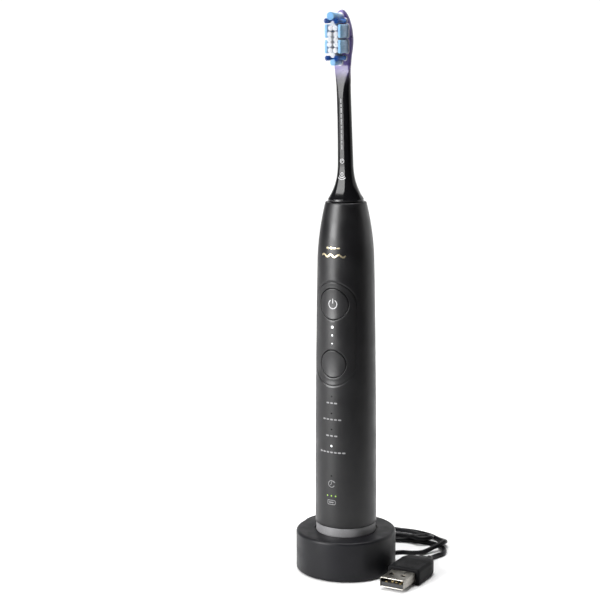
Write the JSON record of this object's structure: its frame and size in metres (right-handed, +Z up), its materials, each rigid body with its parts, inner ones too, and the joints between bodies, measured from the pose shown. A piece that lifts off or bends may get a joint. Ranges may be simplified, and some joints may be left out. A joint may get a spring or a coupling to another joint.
{
  "type": "electric toothbrush on charger",
  "caption": "Slim round sonic toothbrush with two front buttons and a small oval bristle head, standing on a low round charging puck with a thin cord and plug.",
  "frame": {"origin": "centre of the puck's underside, on the table", "axes": "+Z up along the handle, -Y towards the side that carries the buttons and the bristles"},
  "size_m": [0.0834, 0.0831, 0.2591],
  "materials": {
    "bristle_dark_blue": "nylon filament",
    "bristle_light_blue": "nylon filament",
    "bristle_white": "nylon filament",
    "bronze": "sintered",
    "button_black": "satin",
    "cap_grey": "satin",
    "cell_wrap": "shrink wrap",
    "charger_plastic": "satin",
    "circuit_board": "solder mask",
    "copper_winding": "enamelled wire",
    "cord_jacket": "satin",
    "dark_components": "satin",
    "drive_metal": "die cast",
    "ferrite": "matte",
    "gold_contacts": "polished",
    "handle_soft_black": "soft-touch satin",
    "ivory_plastic": "satin",
    "keypad_black": "satin",
    "laminated_steel": "laminated",
    "light_lens": "clear",
    "neck_gloss_black": "gloss",
    "nickel_shell": "bright nickel",
    "platen_violet": "translucent gloss",
    "plug_plastic": "satin",
    "plunger_red": "satin",
    "polished_shaft": "ground",
    "seal_red": "matte",
    "soft_rubber": "matte",
    "tongue_plastic": "satin"
  },
  "bodies": {
    "charger": {"charger_top_shell": "charger_plastic", "charger_base_plate": "charger_plastic", "charger_foot_ring": "soft_rubber", "charger_ferrite_core": "ferrite", "charger_coil_bobbin": "ivory_plastic", "charger_primary_coil": "copper_winding", "charger_circuit_board": "circuit_board", "charger_board_parts": "dark_components", "charger_cord_grommet": "soft_rubber", "cord_lead": "cord_jacket", "cord_tail": "cord_jacket", "cord_coil": "cord_jacket", "usb_plug_grip": "plug_plastic", "usb_plug_shell": "nickel_shell", "usb_plug_tongue": "tongue_plastic", "usb_plug_contacts": "gold_contacts", "usb_plug_strain_relief": "plug_plastic"},
    "handle": {"handle_housing": "handle_soft_black", "handle_end_cap": "cap_grey", "end_cap_seal": "seal_red", "handle_charging_coil": "copper_winding", "battery_cell": "cell_wrap", "battery_tabs": "nickel_shell", "inner_tray": "ivory_plastic", "control_board": "circuit_board", "control_board_parts": "dark_components", "power_switch": "dark_components", "mode_switch": "dark_components", "indicator_lights": "light_lens", "keypad_pad": "keypad_black", "drive_frame": "drive_metal", "lower_bush": "bronze", "upper_bush": "bronze", "stator_core": "laminated_steel", "stator_coils": "copper_winding", "shaft_seal": "soft_rubber", "spring_anchor": "drive_metal"},
    "drive_shaft": {"drive_shaft": "polished_shaft", "rotor_hub": "laminated_steel", "rotor_magnets": "nickel_shell", "torsion_bar": "polished_shaft"},
    "brush_head": {"brush_neck": "neck_gloss_black", "neck_base_ring": "neck_gloss_black", "shaft_socket": "ivory_plastic", "head_tag_ring": "copper_winding", "head_platen": "platen_violet", "tuft_collars": "bristle_white", "tufts_white": "bristle_white", "tufts_dark_blue": "bristle_dark_blue", "tufts_light_blue": "bristle_light_blue"},
    "power_button": {"power_button": "button_black", "power_plunger": "plunger_red"},
    "mode_button": {"mode_button": "button_black", "mode_plunger": "plunger_red"}
  },
  "joints": [
    {"name": "handle_lift", "type": "slide", "parent": "charger", "child": "handle", "axis": [0, 0, 1], "range_m": [0, 0.04]},
    {"name": "shaft_swing", "type": "hinge", "parent": "handle", "child": "drive_shaft", "pos_m": [0, 0, 0.1], "axis": [0, 0, 1], "range_deg": [-5, 5], "stiffness_Nm_per_rad": 0.6},
    {"name": "head_pull_off", "type": "slide", "parent": "drive_shaft", "child": "brush_head", "axis": [0, 0, 1], "range_m": [0, 0.03]},
    {"name": "power_press", "type": "slide", "parent": "handle", "child": "power_button", "axis": [0, 1, 0], "range_m": [0, 0.0005], "stiffness_N_per_m": 1500},
    {"name": "mode_press", "type": "slide", "parent": "handle", "child": "mode_button", "axis": [0, 1, 0], "range_m": [0, 0.0005], "stiffness_N_per_m": 1500}
  ]
}
